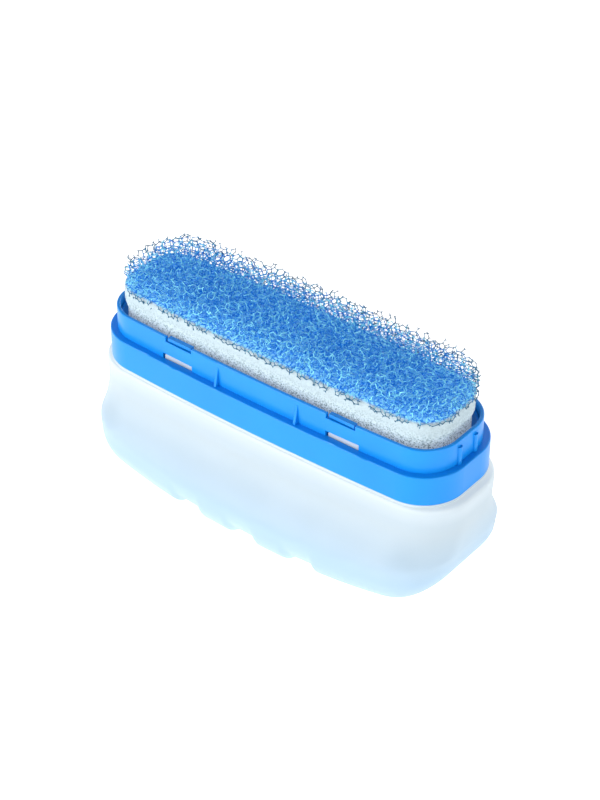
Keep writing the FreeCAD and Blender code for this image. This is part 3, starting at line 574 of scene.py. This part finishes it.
def build_coarse_foam(material):
    """Ragged open-cell pad: whole struts inside the pad's outline and loose ends along it."""
    low, high = COARSE_LOW[2], COARSE_HIGH[2]
    places, struts = skeletal_foam(COARSE_LOW, COARSE_HIGH)
    places = lay_over_edge(places, low)
    past_side = outside_by(places - COARSE_SHIFT, COARSE, COARSE_INSET)
    past_pad = outside_by(places, RIM, FINE_INSET)
    floor = low + np.where(past_pad > 0, -FRINGE_DROP, FRINGE_CLEAR)
    near_end = fade(np.abs(places[:, 0] - COARSE_SHIFT[0]), END_TRIM_ALONG)
    above = places[:, 2] - (high - TOP_TRIM - END_TRIM * near_end)
    inside = (past_side < 0) & (above < 0) & (places[:, 2] > floor)
    first, second = inside[struts[:, 0]], inside[struts[:, 1]]
    whole = struts[first & second]
    cut = struts[first ^ second]
    cut = cut[RNG.uniform(size=len(cut)) < LOOSE_SHARE]
    swap = ~inside[cut[:, 0]]
    cut[swap] = cut[swap][:, ::-1]
    share = RNG.uniform(*LOOSE_LENGTHS, (len(cut), 1))
    cut_ends = places[cut[:, 0]] + (places[cut[:, 1]] - places[cut[:, 0]]) * share
    starts = np.vstack([places[whole[:, 0]], places[cut[:, 0]]])
    ends = np.vstack([places[whole[:, 1]], cut_ends])
    centres = (starts + ends) / 2
    # Painted shade: edge struts that don't face the front right, and buried struts, are darker.
    facing = outwards_at(centres, COARSE, COARSE_INSET) @ FRONT
    in_front = fade(facing, FRONT_FACING) * fade(centres[:, 2] - low, FRONT_LEVELS)
    edge_depth = -outside_by(centres - COARSE_SHIFT, COARSE, COARSE_INSET)
    buried = np.minimum(high - centres[:, 2], edge_depth)
    shown = 1 - BURIED_SHADE * fade(buried, BURIED_DEPTHS)
    tones = smooth(RNG.uniform(0, 1, len(centres))) * shown
    shade_depths = edge_depth + FRONT_DEPTH * in_front
    left = centres[:, 0] < 0
    for name, chosen in (("coarse_foam_left", left), ("coarse_foam_right", ~left)):
        pad = strut_mesh(name, starts[chosen], ends[chosen], material,
                         shade_depths[chosen], tones[chosen])
        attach(pad, "coarse_pad_body")
        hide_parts("coarse_foam")


# ---------------------------------------------------------------- fine foam pads

PAD_EDGE, CAP_MARGIN, TOP_SKIN = 1.2 * MM, 2.0 * MM, 1.0 * MM

# How far the basket grips a pad's foot all round and at its ends, over levels from the grip's top.
GRIP_TUCK, GRIP_LEVELS = 0.6 * MM, (2.6 * MM, -1.0 * MM)
END_TUCK, END_TUCK_LEVELS, END_TUCK_ALONG = 0.5 * MM, (4.0 * MM, -1.0 * MM), (45 * MM, 65 * MM)


def pad_profile(low, high, spacing, half_width):
    """Inset and level of each row of a pad, from its underside's middle to its top's middle."""
    edge = PAD_EDGE
    inner = half_width - GRIP_TUCK - CAP_MARGIN
    cap = np.linspace(inner, edge, max(int((inner - edge) / (1.4 * spacing)), 2))
    arc = np.linspace(0, math.pi / 2, 6)[1:-1]
    wall = np.linspace(low + edge, high - edge, max(int((high - low) / spacing), 2))
    rows = [(inset, low) for inset in cap]
    rows += [(edge - edge * math.sin(a), low + edge - edge * math.cos(a)) for a in arc]
    rows += [(0.0, level) for level in wall]
    rows += [(edge - edge * math.cos(a), high - edge + edge * math.sin(a)) for a in arc]
    rows += [(inset, high) for inset in cap[::-1]]
    return rows


PORE_PLACES = RNG.uniform(0, 1, (4096, 3))
PORE_WALL_SHARE = 0.35
CELL_PRIMES = np.array((73856093, 19349663, 83492791), dtype=np.int64)


def pore_walls(points, cell):
    """How far each point is from the wall between two pores: 0 on it and 1 inside a pore."""
    home = np.floor(points / cell).astype(np.int64)
    nearest = np.full(len(points), np.inf)
    second = np.full(len(points), np.inf)
    for step in np.ndindex(3, 3, 3):
        corner = home + np.array(step) - 1
        chosen = (corner * CELL_PRIMES).sum(axis=1) % len(PORE_PLACES)
        away = np.linalg.norm((corner + PORE_PLACES[chosen]) * cell - points, axis=1)
        second = np.minimum(second, np.maximum(nearest, away))
        nearest = np.minimum(nearest, away)
    return np.clip((second - nearest) / (PORE_WALL_SHARE * cell), 0, 1)


def build_fine_pad(name, node, body, inset, material,
                   cell, depth, spacing, steps, grip_level):
    """Soft-edged foam block with real pores, of one cell size and depth, on its skin.

    spacing is the distance between its rows of points, and steps are as in ring.
    """
    low, high = node_box(node)
    rows = []
    for row_inset, level in pad_profile(low[2], high[2], spacing, RIM["width"] / 2 - inset):
        tuck = GRIP_TUCK * fade(level - grip_level, GRIP_LEVELS)
        end_tuck = END_TUCK * fade(level - grip_level, END_TUCK_LEVELS)
        around = ring(RIM, inset + row_inset + tuck, steps)
        x = around[:, 0]
        x -= np.sign(x) * end_tuck * fade(np.abs(x), END_TUCK_ALONG)
        rows.append(np.column_stack([around, np.full(len(around), level)]))
    points = np.vstack(rows)
    pad = new_mesh(name, points, skin_faces(len(rows), len(rows[0]), steps[0]), material)
    pad.data.update()
    normals = np.zeros(len(points) * 3)
    pad.data.vertices.foreach_get("normal", normals)
    normals = normals.reshape(-1, 3)
    moved = points - normals * (depth * pore_walls(points, cell))[:, None]
    pad.data.vertices.foreach_set("co", moved.ravel())
    pad.data.update()
    # Depth from the edge on the pad's top, where its material paints shade and light from the pad
    # above.
    on_top = points[:, 2] > high[2] - TOP_SKIN
    keep_values(pad, "edge_depth", np.where(on_top, -outside_by(points, RIM, inset), 0.0))
    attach(pad, body)
    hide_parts(node)


# ---------------------------------------------------------------- tub

FLOOR_ROWS, HEEL_ROWS, WALL_ROWS, TUB_STEPS = 16, 16, 34, (10, 22, 64)
INNERMOST_ROW = BELLY["width"] / 2 - 5.0 * MM
NO_FLUTE = -9.0  # heel angle of a row that the flutes don't reach

# Inset and level of the rows that go over the neck, with chamfers where it turns.
NECK_PATH = (
    (NECK_OUT + 0.5 * MM, SHOULDER_LEVEL), (NECK_OUT, SHOULDER_LEVEL + 0.5 * MM),
    (NECK_OUT, NECK_TOP - 0.4 * MM), (NECK_OUT + 0.4 * MM, NECK_TOP),
    (NECK_IN - 0.4 * MM, NECK_TOP), (NECK_IN, NECK_TOP - 0.4 * MM),
    (NECK_IN, SEAT_TOP + 0.3 * MM), (NECK_IN + 0.3 * MM, SEAT_TOP),
    (SEAT_IN - 0.5 * MM, SEAT_TOP), (SEAT_IN, SEAT_TOP - 0.5 * MM),
    (SEAT_IN, SHOULDER_LEVEL - WALL + 0.4 * MM), (SEAT_IN - 0.4 * MM, SHOULDER_LEVEL - WALL))


def wall_section(level):
    """How far the wall stands out, how far it is pulled in, and the belly's share, at a level."""
    if level >= LIP_LEVEL:
        turn = (level - LIP_LEVEL) / (SHOULDER_LEVEL - LIP_LEVEL)
        return LIP_OUT - LIP_ROUND * (1 - math.sqrt(max(1 - turn ** 2, 0))), 0.0, 0.0
    if level >= WAIST_LEVEL:
        share = fade(level, (LIP_LEVEL, WAIST_LEVEL))
        return LIP_OUT + (WAIST_OUT - LIP_OUT) * share, 0.0, 0.0
    share = fade(level, (WAIST_LEVEL, BELLY_LEVEL))
    return WAIST_OUT * (1 - share), HEEL_INSET * fade(level, (BELLY_LEVEL, 0)), share


def tub_rows(wall, floor, rounding):
    """Rows of a tub skin from the floor's middle up to the shoulder.

    A row is its inset, how far it stands out, the belly's share, its level and its heel angle.
    """
    rows = []
    outermost = HEEL_INSET + wall + rounding
    for inset in np.linspace(INNERMOST_ROW, outermost, FLOOR_ROWS, endpoint=False):
        rows.append((inset, 0.0, 1.0, floor, math.pi / 2))
    for angle in np.linspace(math.pi / 2, 0, HEEL_ROWS):
        inset = HEEL_INSET + wall + rounding * (1 - math.cos(angle))
        rows.append((inset, 0.0, 1.0, floor + rounding * (1 - math.sin(angle)), angle))
    start = floor + rounding
    for level in np.linspace(start, SHOULDER_LEVEL - wall, WALL_ROWS)[1:]:
        out, inset, share = wall_section(level)
        blend = fade(level, (start, start + HEEL_BLEND))
        pulled = (1 - blend) * HEEL_INSET + blend * inset
        rows.append((wall + pulled, out * blend, share if level > BELLY_LEVEL else 1.0, level,
                     -(level - start) / rounding))
    return rows


def flute_at(x):
    """Depth of the flutes across the underside at a place along the tub."""
    nearest = np.clip(np.round(x / FLUTE_PITCH), -1, 1) * FLUTE_PITCH
    return FLUTE_DEPTH * smooth((FLUTE_HALF - np.abs(x - nearest)) / FLUTE_RAMP)


def keel_at(x):
    """Rise of the floor towards the ends."""
    past = np.maximum(np.abs(x) - KEEL_FLAT, 0)
    return KEEL_RADIUS - np.sqrt(KEEL_RADIUS ** 2 - past ** 2)


def place_tub_row(row):
    """Points of one row of a tub skin, with its lip, keel, flutes and ends worked in."""
    inset, out, share, level, angle = row
    outline = mixed_outline(share)
    nudge = 0.2 * MM
    points = ring(outline, inset, TUB_STEPS)
    outwards = (points - ring(outline, inset + nudge, TUB_STEPS)) / nudge
    endwise = outwards[:, 0] ** 2
    points = points + outwards * (out * (SIDE_LIP_SHARE + (1 - SIDE_LIP_SHARE) * endwise))[:, None]
    x, y = points.T
    flute = flute_at(x) * fade(angle, FLUTE_ANGLES)
    lift = keel_at(x) * (1 - fade(level, KEEL_LEVELS)) + flute * max(math.sin(angle), 0)
    pull = flute * math.cos(angle) * np.sign(y) * fade(np.abs(y), FLUTE_ACROSS)
    right_end = fade(x, PULL_ALONG) * (1 - CORNER_RELIEF * fade(np.abs(y), PULL_ACROSS))
    tuck = HEEL_PULL * fade(level, PULL_LEVELS) * right_end
    swell = BELLY_SWELL * fade(level, SWELL_LEVELS) * fade(x, SWELL_ALONG)
    return np.column_stack([x - tuck - swell, y - pull, level + lift])


def build_tongue(name, middle, side, material):
    """Clip tongue that stands on the neck and shows in a window, with its head sloped back."""
    count = len(TONGUE_PROFILE)
    points = [(middle + along * TONGUE_WIDTH / 2, (TONGUE_FACE - inwards) * side, level)
              for along in (-1, 1) for inwards, level in TONGUE_PROFILE]
    faces = band_faces(count) + [tuple(reversed(range(count))), tuple(range(count, 2 * count))]
    if side > 0:
        faces = [tuple(reversed(face)) for face in faces]
    tongue = new_mesh(name, points, faces, material, rounded=False)
    bevel = tongue.modifiers.new("bevel", "BEVEL")
    bevel.width = TONGUE_BEVEL
    bevel.segments = 2
    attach(tongue, "tub_body")
    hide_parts("tub")


def cut_outlets(tub, material):
    """Round-ended outlet slots through the tub's floor."""
    half, radius = (OUTLET_LENGTH - OUTLET_WIDTH) / 2, OUTLET_WIDTH / 2
    angles = np.concatenate([np.linspace(turn * math.pi, (turn + 1) * math.pi, OUTLET_ARC_POINTS)
                             for turn in (0, 1)])
    middles = np.repeat([half, -half], OUTLET_ARC_POINTS)
    slot = np.column_stack([radius * np.cos(angles), middles + radius * np.sin(angles)])
    points, faces, count = [], [], len(slot)
    for column in (-1, 0, 1):
        for row in (-1, 0, 1):
            outline = slot + np.array((column, row)) * OUTLET_PITCH
            start = len(points)
            points += [(*place, level) for level in OUTLET_LEVELS for place in outline]
            bottom, top = range(start, start + count), range(start + count, start + 2 * count)
            faces += band_faces(count, start) + [tuple(bottom)[::-1], tuple(top)]
    cutter = new_mesh("outlet_cutter", points, faces, material, rounded=False)
    cut = tub.modifiers.new("outlets", "BOOLEAN")
    cut.operation, cut.object, cut.solver = "DIFFERENCE", cutter, "EXACT"
    bpy.context.view_layer.update()
    evaluated = tub.evaluated_get(bpy.context.evaluated_depsgraph_get())
    carved = bpy.data.meshes.new_from_object(evaluated)
    tub.modifiers.clear()
    tub.data = carved
    bpy.data.objects.remove(cutter)


def build_tub(material):
    """One closed skin: out along the floor, up the wall, over the neck and down the inside."""
    outer = tub_rows(0.0, 0.0, HEEL_ROUND)
    inner = tub_rows(WALL, FLOOR_THICKNESS, HEEL_ROUND - WALL)
    top = [(inset, 0.0, 0.0, level, NO_FLUTE) for inset, level in NECK_PATH]
    rows = [place_tub_row(row) for row in outer + top + inner[::-1]]
    faces = skin_faces(len(rows), len(rows[0]), TUB_STEPS[0])
    tub = new_mesh("tub_shell", np.vstack(rows), faces, material)
    cut_outlets(tub, material)
    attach(tub, "tub_body")
    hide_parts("tub")


# ---------------------------------------------------------------- stage

FLOOR_HALF, FLOOR_GLOW = 6.0, 0.75
BACKDROP_RADIUS, BACKDROP_LEVELS, BACKDROP_SIDES, BACKDROP_GLOW = 5.5, (-0.01, 1.0), 96, 0.9
WORLD_STRENGTH, LAMP_TARGET = 0.32, (0, 0, 0.04)
LAMPS = (("key", (-0.55, -1.05, 0.42), 11.1, 0.9), ("fill", (0.95, -0.25, 0.33), 3.1, 0.7),
         ("back", (-0.30, 1.10, 0.24), 6.0, 0.9))
CAMERA_AZIMUTH, CAMERA_ELEVATION, CAMERA_DISTANCE = 38.58, 36.35, 0.758
CAMERA_LENS, SENSOR_WIDTH, CAMERA_SHIFT = 98.1, 36, (0.0073, 0.0036)


def pale_material(name, glow):
    """Plain white matt surface with a little light of its own."""
    material, tree, shader = new_material(name)
    shader.inputs["Base Color"].default_value = (0.9, 0.9, 0.9, 1)
    shader.inputs["Roughness"].default_value = 0.9
    shader.inputs["Emission Color"].default_value = (1, 1, 1, 1)
    shader.inputs["Emission Strength"].default_value = glow
    return material


def build_floor():
    """Plain pale floor that reaches past the view."""
    half = FLOOR_HALF
    corners = [(-half, -half, 0), (half, -half, 0), (half, half, 0), (-half, half, 0)]
    material = pale_material("floor", FLOOR_GLOW)
    new_mesh("floor", corners, [(0, 1, 2, 3)], material, rounded=False)


def build_backdrop():
    """White ring wall far behind the floor, so that low views end in white too."""
    angles = np.linspace(0, 2 * math.pi, BACKDROP_SIDES, endpoint=False)
    around = BACKDROP_RADIUS * np.column_stack([np.cos(angles), np.sin(angles)])
    points = [(*place, level) for level in BACKDROP_LEVELS for place in around]
    material = pale_material("backdrop", BACKDROP_GLOW)
    new_mesh("backdrop", points, band_faces(BACKDROP_SIDES), material)


def build_light():
    """White surroundings, a large soft light in front, and weaker ones at the right and behind."""
    world = bpy.data.worlds.new("studio")
    bpy.context.scene.world = world
    world.use_nodes = True
    background = world.node_tree.nodes["Background"]
    background.inputs["Color"].default_value = (1, 1, 1, 1)
    background.inputs["Strength"].default_value = WORLD_STRENGTH
    for name, place, energy, size in LAMPS:
        data = bpy.data.lights.new(name, "AREA")
        data.energy = energy
        data.size = size
        lamp = bpy.data.objects.new(name, data)
        lamp.location = place
        towards = Vector(LAMP_TARGET) - Vector(place)
        lamp.rotation_euler = towards.to_track_quat("-Z", "Y").to_euler()
        bpy.context.scene.collection.objects.link(lamp)


def build_camera():
    """Camera at the photograph's angle, aimed at the middle of the skirt's lower edge."""
    azimuth, elevation = math.radians(CAMERA_AZIMUTH), math.radians(CAMERA_ELEVATION)
    back = Vector((math.sin(azimuth) * math.cos(elevation),
                   -math.cos(azimuth) * math.cos(elevation), math.sin(elevation)))
    data = bpy.data.cameras.new("camera")
    data.lens = CAMERA_LENS
    data.sensor_width = SENSOR_WIDTH
    data.shift_x, data.shift_y = CAMERA_SHIFT
    data.clip_start = 0.01
    camera = bpy.data.objects.new("camera", data)
    camera.location = Vector((0, 0, RIM_LEVEL)) + back * CAMERA_DISTANCE
    camera.rotation_mode = "QUATERNION"
    camera.rotation_quaternion = (-back).to_track_quat("-Z", "Y")
    bpy.context.scene.collection.objects.link(camera)
    bpy.context.scene.camera = camera


# ---------------------------------------------------------------- the whole object

build_camera()
build_floor()
build_backdrop()
build_light()
bpy.context.scene.view_settings.view_transform = "Standard"

rim_blue = moulded_plastic("rim_blue", (0.004, 0.265, 0.80), (0.003, 0.245, 0.76), 0.30)
basket_blue = moulded_plastic("basket_blue", (0.003, 0.23, 0.72), (0.002, 0.21, 0.68), 0.35)
grid_white = moulded_plastic("grid_white", (0.80, 0.88, 0.92), (0.74, 0.84, 0.90), 0.4)
seal_white = moulded_plastic("seal_white", (0.58, 0.66, 0.70), (0.54, 0.62, 0.67), 0.55)
for node, material in (("rim_frame", rim_blue), ("foam_basket", basket_blue),
                       ("base_grid", grid_white), ("rim_seal", seal_white)):
    for material_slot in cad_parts[node].material_slots:
        material_slot.material = material

# edge is painted shade on the struts along the pad's edge, and glow is a painted glow.
coarse_blue = reticulated("coarse_blue", deep=(0.0, 0.14, 0.64), bright=(0.38, 1.0, 1.0),
                          edge=(0.03, 0.15, 0.26), glow=(0.0, 0.05, 0.16))
# The pads' glows are painted light; the fine pad's top gets painted shade and light from the coarse
# pad above it.
fine_white = fine_cells("fine_white", colour=(0.465, 0.57, 0.62), pore_shade=(0.015, 0.10, 0.12),
                        cell=0.66 * MM, glow=0.42, faint_shade_level=RIM_TOP + 5.5 * MM,
                        deep_shade_level=RIM_TOP, painted_foam_shade=(0.01, 0.20, 0.64))
lower_cyan = fine_cells("lower_cyan", colour=(0.30, 0.60, 0.75), pore_shade=(0.12, 0.35, 0.50),
                        cell=1.6 * MM, glow=0.8, faint_shade_level=LOWER_HIGH[2] + 18.5 * MM,
                        deep_shade_level=LOWER_LOW[2] - 20 * MM)
build_coarse_foam(coarse_blue)
build_fine_pad("fine_pad", "fine_foam", "fine_pad_body", FINE_INSET, fine_white,
               cell=0.72 * MM, depth=0.25 * MM, spacing=0.42 * MM, steps=(18, 50, 120),
               grip_level=RIM_TOP)
build_fine_pad("lower_pad", "lower_foam", "lower_pad_body", LOWER_INSET, lower_cyan,
               cell=1.6 * MM, depth=0.3 * MM, spacing=0.9 * MM, steps=(10, 24, 60),
               grip_level=LOWER_LOW[2] - 10 * MM)
build_tub(frosted_plastic("frosted"))
tongue_white = moulded_plastic("tongue_white", (0.47, 0.53, 0.60), (0.42, 0.48, 0.56), 0.4)
for index, middle in enumerate(TONGUE_CENTRES):
    for name, side in (("front", -1), ("back", 1)):
        build_tongue("tongue_%s_%d" % (name, index), middle, side, tongue_white)
